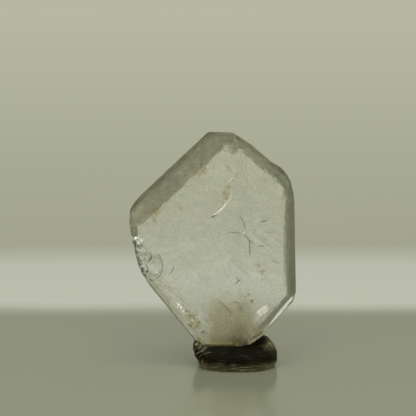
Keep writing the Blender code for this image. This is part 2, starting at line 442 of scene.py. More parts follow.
# broken places along the edges: centre, half-sizes
chips = (
    ((-12.95, -0.3, 15.5), (0.62, 1.9, 0.26)), ((-12.3, -1.3, 15.55), (0.52, 0.42, 0.42)),
    ((-12.05, -1.25, 14.95), (0.42, 0.36, 0.36)), ((-12.75, 0.7, 14.55), (0.5, 0.9, 0.5)),
    ((-12.4, -1.15, 14.25), (0.48, 0.45, 0.4)), ((-12.35, -0.9, 13.45), (0.42, 0.55, 0.45)),
    ((-11.75, -1.4, 13.65), (0.5, 0.22, 0.6)), ((-12.2, 0.9, 12.9), (0.45, 0.6, 0.45)),
    ((-12.0, -0.9, 12.65), (0.4, 0.55, 0.4)), ((-11.35, -1.3, 12.55), (0.45, 0.22, 0.45)),
    ((-11.7, -0.5, 11.85), (0.42, 0.8, 0.42)), ((-11.45, 1.1, 11.3), (0.6, 0.45, 0.55)),
    ((-11.1, -0.9, 11.05), (0.38, 0.55, 0.45)), ((-12.95, -0.6, 16.95), (0.16, 0.8, 0.45)),
    ((-10.2, -0.95, 9.75), (0.25, 0.45, 0.38)), ((-8.75, -1.0, 7.95), (0.22, 0.4, 0.42)),
    ((-7.55, -1.0, 6.55), (0.25, 0.38, 0.36)), ((-6.9, -1.32, 6.95), (0.42, 0.16, 0.3)),
    ((-6.35, -1.32, 6.45), (0.3, 0.15, 0.36)), ((-5.95, -1.15, 5.35), (0.34, 0.3, 0.3)),
    ((-5.35, -1.36, 5.7), (0.48, 0.18, 0.26)), ((-4.75, -1.36, 5.05), (0.34, 0.18, 0.22)),
    ((-4.55, -1.3, 4.2), (0.36, 0.22, 0.32)), ((-5.1, -1.36, 6.35), (0.26, 0.14, 0.2)),
    ((3.05, -1.34, 5.05), (0.2, 0.12, 0.3)), ((0.45, -1.1, 27.3), (0.3, 0.4, 0.16)),
    ((-4.3, -0.9, 27.85), (0.24, 0.45, 0.18)), ((3.15, -0.2, 25.75), (0.22, 0.55, 0.16)),
    ((-9.8, -0.3, 22.25), (0.2, 0.6, 0.16)),
)


def carveChips(solid):
    solid.data.materials.append(looks["frost"])
    cutters = []
    for i, (centre, half) in enumerate(chips):
        bm = bmesh.new()
        bmesh.ops.create_icosphere(bm, subdivisions=2, radius=1)
        for vert in bm.verts:
            vert.co *= 1 + 0.45 * noise.noise(vert.co * 1.9 + Vector((i * 3.1, 0, 0)))
        bmesh.ops.rotate(bm, verts=bm.verts, cent=(0, 0, 0), matrix=Matrix.Rotation(i * 0.7, 3, "Y"))
        bmesh.ops.scale(bm, verts=bm.verts, vec=half)
        bmesh.ops.translate(bm, verts=bm.verts, vec=centre)
        for face in bm.faces:
            face.material_index = 1
        cutters.append(newObject(bm, f"chip{i + 1}", looks["quartz"]))
        cutters[-1].data.materials.append(looks["frost"])
    return carve(solid, cutters)


def cutAcross(bm, normal, start, stop, step):
    # planes through the solid that split its faces into a grid
    for i in range(1, int((stop - start) / step)):
        everything = bm.verts[:] + bm.edges[:] + bm.faces[:]
        place = normal * (start + i * step)
        bmesh.ops.bisect_plane(bm, geom=everything, dist=2e-4, plane_co=place, plane_no=normal)


def closeSeam(bm):
    # the two broad faces meet flush at the seam and part by a hair further right
    face, step = twin["face"], twin["step"]
    for vert in bm.verts:
        beside = besideSeam(vert.co)
        if abs(vert.co.y + face - step) < 0.01:
            vert.co.y = step * ease(0.0, twin["suture"], beside) - face
        elif abs(vert.co.y - face - step) < 0.01:
            vert.co.y = step * ease(-0.5, twin["suture"], beside) + face
    bmesh.ops.remove_doubles(bm, verts=bm.verts, dist=0.012)
    bmesh.ops.dissolve_degenerate(bm, edges=bm.edges, dist=1e-4)
    bmesh.ops.delete(bm, geom=[edge for edge in bm.edges if not edge.link_faces], context="EDGES")
    bmesh.ops.delete(bm, geom=[vert for vert in bm.verts if not vert.link_faces], context="VERTS")


def striation(point):
    # growth lines square to each crystal's long axis, patchy and a little wavy
    axis = rightAxis if besideSeam(point) > 0.6 * noise.noise(point * 0.8) else leftAxis
    along = (point - twin["centre"]).dot(axis)
    patch = 0.4 + 0.6 * noise.noise(point * 0.55 + Vector((7, 0, 0)))
    wave = noise.noise(point * 0.35)
    fine = math.sin(along * 9.5 + wave * 5) + 0.7 * math.sin(along * 5.3 + wave * 8 + 1)
    return quartz["striation"] * patch * fine / 1.7


# low growth steps on the front face: ends (x, z), height, width
growthSteps = (
    ((-3.6, 18.1), (-6.4, 14.6), 0.03, 0.22), ((-5.2, 17.3), (-7.4, 14.4), 0.02, 0.18),
    ((0.9, 16.9), (4.1, 14.3), 0.028, 0.2), ((2.0, 17.6), (5.2, 15.0), 0.024, 0.2),
    ((1.8, 12.2), (4.6, 9.4), 0.022, 0.18), ((-2.4, 22.6), (-5.2, 19.4), 0.018, 0.2),
    ((0.6, 21.8), (3.9, 18.5), 0.018, 0.2), ((-6.0, 12.6), (-3.4, 9.4), 0.018, 0.16),
    ((-1.0, 13.2), (1.2, 10.9), 0.02, 0.16), ((3.0, 9.0), (4.2, 7.4), 0.024, 0.16),
)

# curved ripples of the broken corner: centre (x, z), radius, first and last angle, height
ripples = (
    ((-12.7, 12.95), 2.22, -30, 40, 0.05), ((-12.7, 12.95), 2.85, -38, 30, 0.03),
    ((-13.2, 12.95), 4.75, -22, 2, 0.04), ((-12.6, 14.4), 1.35, -50, 30, 0.045),
)


def besideLine(point, start, end):
    # how far along a line in the plate a point lies, as a share of it, and how far beside it
    along = Vector((end[0] - start[0], end[1] - start[1]))
    off = Vector((point.x - start[0], point.z - start[1]))
    return off.dot(along) / along.length_squared, (off.x * along.y - off.y * along.x) / along.length


def frontRelief(point):
    height = 0.0
    for start, end, rise, width in growthSteps:
        share, side = besideLine(point, start, end)
        if -0.1 < share < 1.1:
            side += 0.12 * noise.noise(point * 1.5)
            fade = ease(-0.1, 0.2, share) * (1 - ease(0.8, 1.1, share))
            height -= 1.7 * rise * fade * math.exp(-(side / width) ** 2)
    for (x, z), radius, start, stop, rise in ripples:
        angle = math.degrees(math.atan2(point.z - z, point.x - x))
        away = math.hypot(point.x - x, point.z - z) - radius + 0.08 * noise.noise(point * 1.8)
        if start - 12 < angle < stop + 12 and abs(away) < 0.5:
            fade = ease(start - 12, start, angle) * (1 - ease(stop, stop + 12, angle))
            height -= rise * fade * math.exp(-(away / 0.11) ** 2)
    return height


# stained patches: x, z, radius, grains
stains = (
    (-4.16, 24.13, 0.34, 60), (-4.75, 23.7, 0.3, 26), (-5.13, 23.65, 0.2, 20), (-8.05, 21.62, 0.3, 60),
    (-10.62, 19.16, 0.26, 40), (-9.88, 19.02, 0.3, 40), (-10.07, 18.09, 0.26, 34), (-9.3, 19.6, 0.36, 24),
    (-7.04, 19.58, 0.18, 18), (-6.2, 22.4, 0.5, 20), (-5.03, 25.7, 0.22, 22), (-3.66, 25.78, 0.22, 22),
    (-1.42, 24.54, 0.16, 26), (-1.15, 24.35, 0.14, 20), (-0.92, 24.08, 0.14, 20), (-0.6, 26.81, 0.18, 26),
    (-0.8, 26.27, 0.24, 30), (-0.95, 25.75, 0.18, 14), (2.34, 12.54, 0.24, 40), (2.84, 11.71, 0.2, 30),
    (2.89, 10.83, 0.14, 16), (3.1, 11.95, 0.16, 16), (5.08, 9.68, 0.14, 16), (2.5, 3.75, 0.24, 60),
    (2.05, 3.55, 0.24, 44), (2.8, 4.0, 0.16, 36), (-9.24, 11.0, 0.18, 22), (-10.38, 9.97, 0.2, 18),
    (-7.9, 8.5, 0.3, 18), (-1.75, 21.3, 0.3, 40), (-1.2, 22.1, 0.26, 36), (-1.45, 20.7, 0.24, 30),
    (-1.95, 20.1, 0.22, 24), (-0.75, 22.9, 0.18, 20), (-5.6, 5.9, 0.34, 44), (-4.9, 5.4, 0.3, 44),
    (-6.2, 6.7, 0.26, 22), (-4.7, 3.45, 0.24, 44), (0.26, 7.28, 0.16, 18), (-2.2, 9.6, 0.2, 12),
    (-5.95, 6.5, 0.36, 40), (-5.2, 5.1, 0.34, 44), (-6.6, 7.6, 0.24, 24), (-2.3, 14.5, 0.16, 10),
    (1.6, 8.15, 0.13, 70), (3.71, 7.36, 0.11, 24), (1.24, 8.98, 0.1, 14), (-4.1, 22.1, 0.14, 10),
    (-8.7, 20.35, 0.2, 26), (-9.75, 10.2, 0.26, 20), (-9.2, 9.55, 0.22, 14), (-8.6, 8.9, 0.24, 14),
    (-11.35, 18.25, 0.22, 22), (-11.0, 17.55, 0.2, 24), (-4.4, 25.1, 0.26, 26),
)


def stainAt(point):
    amount = 0.0
    for x, z, radius, count in stains:
        away = math.hypot(point.x - x, point.z - z) / (radius * quartz["stainReach"])
        if away < 2.5:
            amount += math.exp(-away * away) * min(0.90, count / 40)
    return min(amount, quartz["stainMost"])


def plateThickness(point):
    toFront = insideTree.ray_cast(Vector((point.x, -6, point.z)), Vector((0, 1, 0)))[0]
    toBack = insideTree.ray_cast(Vector((point.x, 6, point.z)), Vector((0, -1, 0)))[0]
    return (toBack - toFront).length if toFront and toBack else 0.0


def rimShade(point):
    # the thin lower left rim and the broken corner turn light aside and look dark
    if besideSeam(point) >= -1 or point.z >= 16.5:
        return 1.0
    reach = 0.85 + 0.35 * (1 - ease(9.5, 11.5, point.z))
    thick = plateThickness(point) + 0.30 * noise.noise(point * 2.3)
    return 1 - quartz["rimDark"] * (1 - ease(reach - 0.7, reach, thick))


def faceShades(face):
    # the outer and inner painted shade of a sloping face, and the thickness between them
    if abs(face.normal.y) < 0.95 and face.material_index == 0:
        angle = math.degrees(math.atan2(face.normal.z, face.normal.x))
        atBack = face.normal.y > 0
        if 20 <= angle < 70 and atBack:
            return quartzLook["back"], quartzLook["back"], 1.0
        for start, stop, outer, inner, change in paintedBandShades:
            if start <= angle < stop or start <= angle + 360 < stop:
                inner = outer if 110 <= angle < 160 and atBack else inner
                return Vector(outer), Vector(inner), change
    return None


# where the painted olive shade of the bands runs down over the face: x, z, half-sizes, strength
tongues = (
    (-0.72, 26.85, 0.75, 0.85, 0.75), (-1.55, 27.35, 0.4, 0.35, 0.5), (-5.1, 25.75, 0.55, 0.45, 0.5),
    (-7.9, 22.2, 0.6, 0.45, 0.35), (-10.2, 19.2, 0.6, 0.45, 0.4), (5.55, 20.9, 0.35, 0.5, 0.6),
    (0.3, 27.0, 0.45, 0.3, 0.4), (-3.6, 26.6, 0.4, 0.4, 0.4), (5.95, 15.2, 0.6, 6.2, 0.85),
)


def tongueAt(point):
    amount = 0.0
    for x, z, halfX, halfZ, strength in tongues:
        away = math.hypot((point.x - x) / halfX, (point.z - z) / halfZ)
        away += (0.8 * noise.noise(point * 2.0) + 0.6 * noise.noise(point * 5.5)) * min(1.0, 1.3 / halfZ)
        amount = max(amount, strength * (1 - ease(0.6, 1.25, away)))
    return amount


# clear unetched strips, which catch the far light: path of (x, z), half-width
windows = (
    (((6.72, 8.62), (5.53, 7.01), (3.69, 4.73)), 0.26), (((3.6, 4.86), (3.1, 4.28)), 0.06),
)


def windowAt(point):
    amount = 0.0
    for path, half in windows:
        whole = len(path) - 1
        for i in range(whole):
            share, side = besideLine(point, path[i], path[i + 1])
            if 0 <= share <= 1:
                away = abs(side) + 0.04 * noise.noise(point * 3)
                reach = half * math.sin(math.pi * (i + share) / whole) ** 0.6
                amount = max(amount, 1 - ease(reach * 0.75, reach * 1.15 + 0.01, away))
    return amount


def isUpperLeft(point):
    return besideSeam(point) < 0 and point.z > 17


def middle(values):
    return sum(values, Vector()) / len(values)


def spreadShades(bm):
    # lets each band's painted shade run a little way into the broad faces beside it
    shades = {face: faceShades(face) for face in bm.faces}
    share, colour = {}, {}
    for vert in bm.verts:
        bands = [shades[face] for face in vert.link_faces if shades[face]]
        share[vert] = 1 - len(bands) / len(vert.link_faces)
        colour[vert] = None
        if bands:
            thick = plateThickness(vert.co) + 0.12 * noise.noise(vert.co * 2.5)
            colour[vert] = middle([outer.lerp(inner, ease(change - 0.1, change + 0.1, thick))
                                   for outer, inner, change in bands])
            # painted shade, darker where the upper left band is thinner
            if isUpperLeft(vert.co) and thick > 0.88:
                colour[vert] *= 0.86 + 0.14 * ease(0.9, 1.9, thick)
    for i in range(3):
        newShare, newColour = {}, {}
        for vert in bm.verts:
            around = [edge.other_vert(vert) for edge in vert.link_edges]
            newShare[vert] = 0.5 * share[vert] + 0.5 * sum(share[v] for v in around) / len(around)
            near = [colour[v] for v in around if colour[v]]
            newColour[vert] = colour[vert] or (middle(near) if near else None)
        share, colour = newShare, newColour
    return share, {vert: value or Vector((1, 1, 1)) for vert, value in colour.items()}


def reshapeEdges(bm):
    # the broad faces reach further out over the upper right band, and the small scar at the back is shallow
    rim, depth = twin["face"] - twin["step"], quartz["bandDepth"]
    for vert in bm.verts:
        x, y, z = vert.co
        slopes = [face.normal for face in vert.link_faces if 0.2 < abs(face.normal.y) < 0.95]
        angle = math.degrees(math.atan2(sum(n.z for n in slopes), sum(n.x for n in slopes))) if slopes else 0
        if 36 <= angle < 70 and sum(n.y for n in slopes) < 0:
            kept = quartz["slimmer"] * ease(-0.4, 0.9, x) * (1 - ease(2.9, 4.3, x))
            down = (y + rim) / depth
            if 0 < down < 1:
                vert.co.y = depth * max(0.0, (down - kept) / (1 - kept)) - rim
        if y > 0.8 and math.hypot((x - 2.4) / 1.25, (z - 5.0) / 1.1) < 1:
            vert.co.y += 0.8 * max(0.0, 1.4 - y)
    bm.normal_update()


def makeBlank():
    # the plain stone with chipped edges and a fine grid cut over it
    flush = math.radians(0.4)
    bm = toMillimetres(plainStone, 0.0005)
    bmesh.ops.dissolve_limit(bm, angle_limit=flush, verts=bm.verts, edges=bm.edges)
    for face in bm.faces:
        broken = face.calc_area() < 0.35 and face.calc_center_median().x < -9
        face.material_index = 1 if broken else 0  # the small facets of the left corner are broken places
    carved = carveChips(newObject(bm, "twinBlank", looks["quartz"]))
    bm = toMillimetres(carved, 0.002)
    bpy.data.meshes.remove(carved)
    bmesh.ops.dissolve_limit(bm, angle_limit=flush, verts=bm.verts, edges=bm.edges, delimit={"MATERIAL"})
    for edge in bm.edges:
        flat = edge.calc_face_angle(0) <= math.radians(quartz["creaseAngle"])
        edge.smooth = flat or len(edge.link_faces) != 2
    for direction, start, stop, step in quartz["cuts"]:
        cutAcross(bm, Vector(direction), start, stop, step)
    closeSeam(bm)
    bm.normal_update()
    return bm


def reliefAt(vert):
    # how a place of the surface moves: growth lines, swells, ripples of a break and nibbled edges
    normals = [face.normal for face in vert.link_faces]
    broad = sum(abs(n.y) > 0.97 for n in normals)
    point = vert.co.copy()
    swell = quartz["swell"] * (noise.noise(point * 0.3) + 0.5 * noise.noise(point * 0.9) - 0.9)
    if any(face.material_index for face in vert.link_faces):
        x, z = quartz["corner"]
        away = math.hypot(point.x - x, point.z - z) + 0.15 * noise.noise(point * 1.4)
        ring = math.sin(away * 10) * ease(1.0, 2.0, away)
        depth = quartz["breakRipple"] * (ring + 1.6 * noise.noise(point * 2.6) + noise.noise(point * 6) - 2.2)
    elif broad == len(normals):
        depth = striation(point) + swell + (frontRelief(point) if point.y < 0 else 0)
        lowerLeft = point.y < 0 and point.z < 13 and besideSeam(point) < 0
        if lowerLeft and plateThickness(point) < quartz["hatchBelow"]:
            hatch = noise.noise(Vector((point.x * 3.2 + point.z * 0.4, 0, point.z * 0.25)))
            depth += quartz["hatch"] * (hatch - 0.5)  # upright lines
    elif broad == 0:
        lines = noise.noise(Vector((point.y * 6, point.z * 0.15, point.x * 0.15)))
        depth = quartz["sideLines"] * (lines - 0.6) + 0.5 * swell
    else:
        depth = quartz["edgeSwell"] * noise.noise(point * 3.1) - quartz["edgeSwell"]
    flat = Vector((vert.normal.x, 0, vert.normal.z))
    nibble = noise.noise(point * 1.1) + 0.6 * noise.noise(point * 2.9) - 0.25
    return vert.normal * min(depth, -0.001) - flat * quartz["nibble"] * max(0.0, nibble)


def shadeAt(point, share, colour, facesFront):
    # how much of a place is clear, and its band's painted shade, plain and mottled
    if 0.02 < share < 0.98:
        share = ease(0.2, 0.8, share + 0.26 * noise.noise(point * 1.7) + 0.2 * noise.noise(point * 4))
    uneven = quartz["upperMottle"] if isUpperLeft(point) else 1.0
    mottled = 1 + uneven * (0.16 * noise.noise(point * 1.3) + 0.12 * noise.noise(point * 4))
    if point.y < 0:
        tongue = tongueAt(point) if share > 0 else 0.0
        colour = colour.lerp(quartzLook["tongue"], tongue)
        share *= 1 - tongue
    if facesFront:
        share = max(share, windowAt(point))
    # the painted shade pales towards the left corner and down into the putty
    if isUpperLeft(point):
        paling = ease(8.0, 12.5, -point.x) * (1 - ease(0.5, 0.7, colour.x))
        colour = colour * (1 + quartz["paler"] * paling)
    elif point.x > 1 and point.z < 6:
        colour = colour * (1 + quartz["lowerPaler"] * (1 - ease(3.7, 5.7, point.z)))
    return share, colour, colour * mottled * (1 - share) + Vector((1, 1, 1)) * share


def paintStone(bm):
    # the shade layer holds the bands' and the rim's painted shade; facePaint is red where etched, green where
    # stained, blue where broken
    clearShare, bandColour = spreadShades(bm)
    rim = {vert: rimShade(vert.co) for vert in bm.verts}
    shadeLayer = bm.loops.layers.color.new("paintedShade")
    paintLayer = bm.loops.layers.color.new("facePaint")
    for face in bm.faces:
        face.smooth = True
        broken = 1.0 if face.material_index == 1 else 0.0
        for loop in face.loops:
            vert = loop.vert
            share, colour, shade = shadeAt(vert.co, clearShare[vert], bandColour[vert], face.normal.y < 0)
            loop[shadeLayer] = (*(shade * rim[vert]), 1)
            etched = (1 - share) * (1 - broken) * min(1.0, (1 - colour.x) * 2.5)
            stain = stainAt(vert.co) if face.normal.y < -0.2 else 0.0
            loop[paintLayer] = (etched, stain, broken, 1)
        face.material_index = 0


def makeQuartz():
    bm = makeBlank()
    reshapeEdges(bm)
    moves = {vert: reliefAt(vert) for vert in bm.verts}
    for vert, move in moves.items():
        vert.co += move
    bm.normal_update()
    paintStone(bm)
    bmesh.ops.triangulate(bm, faces=[face for face in bm.faces if len(face.verts) > 4])
    piece = newObject(bm, "quartzTwin", looks["quartz"])
    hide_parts("twin_crystal")
    finishPiece(piece)
    return piece


stoneTree = surfaceTree(makeQuartz().data)  # the finished surface, to lay things on it or behind it


def frontAt(x, z):
    hit = stoneTree.ray_cast(Vector((x, -6, z)), Vector((0, 1, 0)))[0]
    return hit or stoneTree.find_nearest(Vector((x, -0.8, z)))[0]


def isInside(point, margin):
    nearest, normal, index, distance = insideTree.find_nearest(point)
    return (point - nearest).dot(normal) < 0 and distance > margin


def scatterGrains(name, look, seed, places, size):
    # small three-sided grains, each turned its own way, built in short batches
    rng = random.Random(seed)
    whole = bmesh.new()
    batch = bmesh.new()
    batchMesh = bpy.data.meshes.new("batch")
    for i, point in enumerate(places):
        grain = size[0] + (size[1] - size[0]) * rng.random() ** 2
        turn = rng.uniform(0, 6.28)
        axis = Vector((rng.gauss(0, 1), rng.gauss(0, 1), rng.gauss(0, 1)))
        place = Matrix.Translation(point) @ Matrix.Rotation(turn, 4, axis)
        bmesh.ops.create_cone(
            batch, cap_ends=True, segments=3, radius1=grain, radius2=0, depth=grain * 1.1, matrix=place)
        if i % 100 == 99 or i == len(places) - 1:
            batch.to_mesh(batchMesh)
            whole.from_mesh(batchMesh)
            batch.clear()
    batch.free()
    bpy.data.meshes.remove(batchMesh)
    finishPiece(newObject(whole, name, looks[look]))


def fillPlaces(seed, count, place):
    rng = random.Random(seed)
    places = []
    for i in range(count * 12):
        point = place(rng)
        if point is not None and isInside(point, 0.06):
            places.append(point)
        if len(places) == count:
            break
    return places


cloud = {
    "left": -3.55,
    "right": 2.7,
    "top": 9.0,
    "milkCount": 32000,
    "siltCount": 29000,  # in each of the two silty pieces
    "umberCount": 11000,
    "grain": (0.012, 0.028),
}
haze = {
    "fineCount": 6000,
    "fineGrain": (0.012, 0.040),
    "darkCount": 1200,
    "darkGrain": (0.008, 0.028),
}


def cloudDensity(x, z):
    edge = 0.5 * noise.noise(Vector((x * 0.7, 0, z * 0.7))) + 0.2 * noise.noise(Vector((x * 2.1, 5, z * 2.1)))
    sides = ease(cloud["left"] - 0.4, cloud["left"] + 0.9, x + edge)
    sides *= 1 - ease(cloud["right"] - 2.2, cloud["right"], x + edge)
    return sides * (1 - ease(cloud["top"] - 2.2, cloud["top"] + 0.1, z + edge * 1.5))


def haloAt(x, z, halfX, halfZ, start, end):
    return 1 - ease(start, end, math.hypot((x + 0.9) / halfX, (z - 4.5) / halfZ))


def milkPlace(rng):
    x, y, z = rng.uniform(-4.9, 3.5), rng.uniform(-1.3, 1.3), rng.uniform(1.4, 10.2)
    halo = 0.22 * haloAt(x, z, 3.9, 5.5, 0.6, 1.25)
    return Vector((x, y, z)) if rng.random() < halo + 0.6 * cloudDensity(x, z) else None


def siltPlace(rng):
    x, y, z = rng.uniform(-4.4, 3.0), rng.uniform(-1.2, 1.25), rng.uniform(1.3, 9.2)
    # denser low down: painted shade where the putty shades the cloud
    shadeLow = 0.44 + 0.56 * (1 - ease(2.5, 6.8, z))
    halo = 0.08 * haloAt(x, z, 4.2, 5.2, 0.8, 1.3)
    return Vector((x, y, z)) if rng.random() < cloudDensity(x, z) * shadeLow + halo else None


def umberPlace(rng):
    # umber grains low in the cloud: painted shade next to the putty
    x, y, z = rng.gauss(-0.2, 1.3), rng.uniform(-1.1, 1.2), 2.2 + abs(rng.gauss(0, 1.1))
    if rng.random() < 0.22:
        x, z = rng.gauss(0.05, 0.35), rng.gauss(3.3, 0.4)  # a darker patch low down, painted shade by the putty
    return Vector((x, y, z)) if rng.random() < cloudDensity(x, z) else None


def hazePlace(rng):
    return Vector((rng.uniform(-13, 7), rng.uniform(-1.3, 1.3), rng.uniform(2, 28.3)))


scatterGrains("milkyCloud", "milk", 11, fillPlaces(31, cloud["milkCount"], milkPlace), cloud["grain"])
scatterGrains("siltyCore", "silt", 12, fillPlaces(32, cloud["siltCount"], siltPlace), cloud["grain"])
scatterGrains("siltyVeil", "silt", 16, fillPlaces(36, cloud["siltCount"], siltPlace), cloud["grain"])
scatterGrains("umberCoreShade", "umber", 15, fillPlaces(35, cloud["umberCount"], umberPlace), cloud["grain"])
scatterGrains("fineHaze", "milk", 13, fillPlaces(33, haze["fineCount"], hazePlace), haze["fineGrain"])
scatterGrains("darkHaze", "shadow", 14, fillPlaces(34, haze["darkCount"], hazePlace), haze["darkGrain"])


skin = 0.012  # how far grains on a face are sunk into it, and patches stand out from it


def onFace(x, z, back=False):
    # where a straight line through the plate meets its front or back
    side = 1 if back else -1
    hit = insideTree.ray_cast(Vector((x, 6 * side, z)), Vector((0, -side, 0)))[0]
    return hit - Vector((0, side * skin, 0)) if hit else None


def crustPlaces(seed, share, spread=0.55):
    # grains lying on the front face over each stained patch
    rng = random.Random(seed)
    places = []
    for x, z, radius, count in stains:
        for i in range(int(count * share)):
            places.append(onFace(x + radius * rng.gauss(0, spread), z + radius * rng.gauss(0, spread)))
    return [place for place in places if place]


def seamSiltPlaces(seed, count):
    # silt caught where the stone goes into the putty
    rng = random.Random(seed)
    places = []
    for i in range(count):
        x = rng.uniform(-5.2, 3.2)
        rise = 2.95 + 0.9 * ease(3.6, 5.2, -x) + 0.75 * ease(1.0, 3.2, x)
        rise = rise - 0.1 + abs(rng.gauss(0, 0.16)) + 0.25 * noise.noise(Vector((x * 2, 0, 0)))
        places.append(onFace(x, rise))
    return [place for place in places if place]


def frostPlaces(seed, count):
    # a thin sprinkling over both broad faces, gathered in faint drifts
    rng = random.Random(seed)
    places = []
    while len(places) < count:
        x, z = rng.uniform(-13, 7), rng.uniform(3.5, 28.4)
        if rng.random() < 0.55 + 0.8 * noise.noise(Vector((x * 0.7, 3, z * 0.7))):
            place = onFace(x, z, back=rng.random() < 0.4)
            if place and (plateThickness(place) > 2.5 or rng.random() < 0.2):
                places.append(place)
    return places


scatterGrains("rustGrains", "rust", 21, crustPlaces(41, 0.45), (0.018, 0.040))
scatterGrains("ochreGrains", "ochre", 22, crustPlaces(42, 0.9), (0.020, 0.050))
scatterGrains("ochreFlakes", "ochre", 26, crustPlaces(46, 0.42, 1.25), (0.030, 0.066))
scatterGrains("seamSilt", "silt", 25, seamSiltPlaces(45, 700), (0.020, 0.050))
scatterGrains("frostGrains", "frost", 23, frostPlaces(43, 20000), (0.020, 0.055))
# painted shadow in small pits over the faces
scatterGrains("pitShadows", "shadow", 24, frostPlaces(44, 7000), (0.010, 0.036))


marks = {
    "crack": 0.012,  # the thickness of a crack, of a patch (the painted glints and the lines of dust) and half a splinter
    "paintedGlint": 0.03,
    "shard": 0.025,
    "wobble": 0.03,  # how far a crack strays from its path
}


def alongPath(points, share):
    # a point on the smooth curve through the points, and the level direction square to it
    place = share * (len(points) - 1)
    i = min(int(place), len(points) - 2)
    before, after = points[max(i - 1, 0)], points[min(i + 2, len(points) - 1)]
    t = place - i
    first, second = points[i], points[i + 1]
    point = 0.5 * (2 * first + (second - before) * t + (2 * before - 5 * first + 4 * second - after) * t * t
                   + (3 * first - before - 3 * second + after) * t ** 3)
    along = (second - first).normalized()
    return point, Vector((-along.z, 0, along.x))


def addStrip(bm, points, segments, thickness, place):
    # a grid bent along a path, where place puts each vertex, given a little thickness
    grid = bmesh.ops.create_grid(bm, x_segments=segments[0], y_segments=segments[1], size=0.5)["verts"]
    for vert in grid:
        share = min(max(vert.co.x + 0.5, 0.0), 1.0)
        vert.co = place(share, vert.co.y, *alongPath(points, share))
    faces = list(dict.fromkeys(face for vert in grid for face in vert.link_faces))
    bmesh.ops.solidify(bm, geom=faces, thickness=thickness)


def addVeil(bm, path, depth, across, lean):
    # a thin curved crack, which reaches from its depth behind the face into the stone
    upright, level = math.cos(math.radians(lean)), math.sin(math.radians(lean))
    clearance = 0.5 * across * upright
    points = [Vector((x, frontAt(x, z).y + depth + clearance, z)) for x, z in path]

    def place(share, side, point, flat):
        reach = across * (0.15 + 0.85 * math.sin(math.pi * share) ** 0.6)
        wobble = marks["wobble"] * noise.noise(point * 4 + Vector((0, side * 2, 0)))
        return point + (flat * level + Vector((0, upright, 0))) * side * reach + flat * wobble

    addStrip(bm, points, (24, 4), marks["crack"], place)


def addGlintAndDustPatch(bm, path, width, ragged):
    # a ragged patch that lies on the stone, used for the painted glints and the lines of dust
    def place(share, side, point, flat):
        reach = width * (0.04 + 0.96 * math.sin(math.pi * share) ** 0.7)
        edge = ragged * noise.noise(Vector((share * 9, side * 3, point.x)))
        spot = point + flat * (side * reach + edge * min(1.0, reach / width))
        return frontAt(spot.x, spot.z) - Vector((0, skin, 0))

    addStrip(bm, [Vector((x, 0, z)) for x, z in path], (40, 6), marks["paintedGlint"], place)


def addShard(bm, x, z, depth, length, width, turn, tip, number):
    # a flat splinter
    shard = bmesh.ops.create_icosphere(bm, subdivisions=1, radius=1)["verts"]
    for vert in shard:
        vert.co *= 1 + 0.5 * noise.noise(vert.co * 2.1 + Vector((number * 2.3, 9, 0)))
    bmesh.ops.scale(bm, verts=shard, vec=(length, marks["shard"], width))
    for angle, axis in ((turn, "Y"), (tip, "X"), (tip * 0.8, "Z")):
        turned = Matrix.Rotation(math.radians(-angle), 3, axis)
        bmesh.ops.rotate(bm, verts=shard, cent=(0, 0, 0), matrix=turned)
    bmesh.ops.translate(bm, verts=shard, vec=(x, frontAt(x, z).y + depth, z))


# cracks seen edge on: path of (x, z), depth behind the face, width through the plate, lean
# painted shadow: dark sheets along the cracks that look dark
crackShadows = (
    (((-3.25, 18.4), (-3.0, 18.5), (-2.6, 18.78)), 0.1, 0.5, 14),
    (((-2.75, 18.66), (-2.1, 19.22), (-1.45, 19.98)), 0.3, 0.4, 5),
    (((0.11, 18.48), (0.53, 17.9), (0.72, 17.4), (0.8, 16.9)), 0.2, 0.35, 7),
    (((0.62, 16.4), (0.98, 15.92), (1.22, 15.6), (1.33, 15.2)), 0.2, 0.4, 9),
    (((1.33, 15.3), (1.35, 14.62), (1.38, 14.1), (1.4, 13.58)), 0.1, 0.5, 12),
    (((-1.26, 16.57), (-0.43, 16.53), (0.35, 16.41)), 0.3, 0.3, 1),
    (((1.3, 15.55), (1.75, 15.25), (2.05, 14.9)), 0.2, 0.3, 6),
    (((2.56, 17.78), (3.01, 17.9), (3.52, 17.96)), 0.2, 0.3, 14),
    (((-0.42, 10.22), (-0.06, 10.58), (0.3, 10.77)), 0.2, 0.35, 13),
    (((-0.3, 11.1), (-0.1, 10.85), (-0.02, 10.6)), 0.2, 0.3, 10),
    (((2.35, 14.75), (2.7, 14.92), (3.08, 14.8)), 0.2, 0.3, 9),
    (((-10.61, 14.2), (-10.46, 13.6), (-10.6, 13.2), (-10.9, 12.8)), 0.05, 0.3, 24),
    (((-9.6, 13.95), (-9.2, 13.1), (-9.1, 12.2), (-9.35, 11.4), (-9.95, 10.85)), 0.05, 0.25, 24),
    (((-7.75, 12.45), (-7.95, 11.85), (-8.4, 11.42)), 0.05, 0.25, 20),
    (((-11.2, 12.6), (-10.9, 12.2), (-10.85, 11.8)), 0.05, 0.25, 22),
    (((-9.95, 10.85), (-10.4, 10.6), (-10.75, 10.75)), 0.05, 0.2, 22),
    (((-1.7, 11.5), (-1.35, 11.2), (-1.2, 10.8)), 0.2, 0.2, 2),
    (((4.1, 13.2), (4.45, 12.9), (4.95, 12.75)), 0.2, 0.2, 8),
)
brightCracks = (
    (((-3.0, 18.62), (-2.34, 19.1), (-1.8, 19.66), (-1.32, 20.28), (-0.82, 20.98)), 0.25, 0.18, 75),
    (((-1.15, 22.75), (-0.9, 22.95), (-0.62, 23.25)), 0.3, 0.12, 75),
    (((0.5, 16.46), (0.58, 16.48), (0.66, 16.52)), 0.3, 0.14, 75),
)
